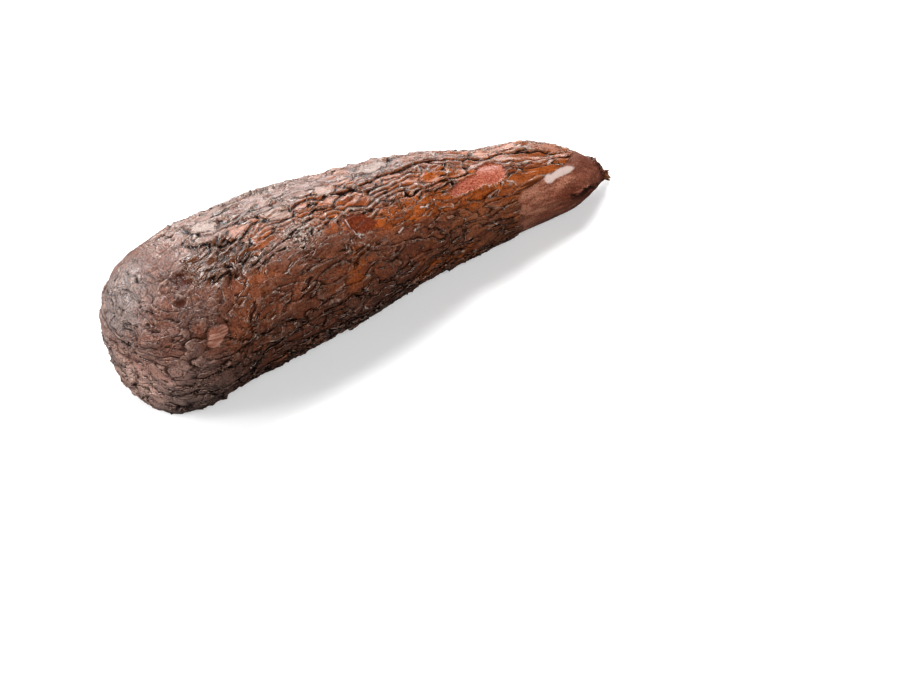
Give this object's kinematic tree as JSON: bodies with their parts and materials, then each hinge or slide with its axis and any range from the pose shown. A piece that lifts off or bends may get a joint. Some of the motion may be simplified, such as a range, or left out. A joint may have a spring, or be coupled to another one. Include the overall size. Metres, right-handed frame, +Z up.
{
  "type": "cassava root",
  "caption": "Whole cassava (yuca) root with rough brown bark, blunt at the stem end and tapering to a torn tip, lying on its side.",
  "frame": {"origin": "middle of the root's footprint, on the surface that it lies on", "axes": "+X along the root from its blunt stem end to its thin tip, +Y to the side, +Z up"},
  "size_m": [0.305, 0.0804, 0.0743],
  "materials": {
    "bark": "rough flaking brown bark with a thin uneven wax gloss, salmon-pink where it has peeled"
  },
  "bodies": {
    "root": {"cassava_root": "bark"}
  },
  "joints": []
}
